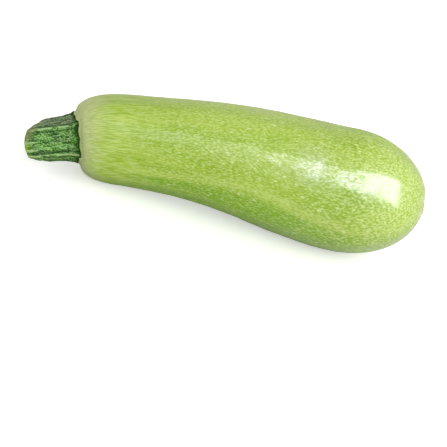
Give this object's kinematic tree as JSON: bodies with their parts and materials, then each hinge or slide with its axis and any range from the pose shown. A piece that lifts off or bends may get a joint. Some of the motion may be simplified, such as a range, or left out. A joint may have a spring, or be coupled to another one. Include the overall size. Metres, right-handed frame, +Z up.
{
  "type": "courgette",
  "caption": "Pale green courgette with a thin neck, a full blossom end and a short ridged cut stem, lying on its side.",
  "frame": {"origin": "on the surface that the courgette lies on, under the middle of its bounding box", "axes": "+X runs from the stem to the blossom end, +Z is up, and -Y is the side that shows in the picture"},
  "size_m": [0.1948, 0.0614, 0.0617],
  "materials": {
    "skin": "waxy satin skin, pale yellow-green with fine pale flecks",
    "stem_rind": "dull dark green rind with pale ridges and flecks"
  },
  "bodies": {
    "root": {"fruit": "skin", "stem": "stem_rind"}
  },
  "joints": []
}
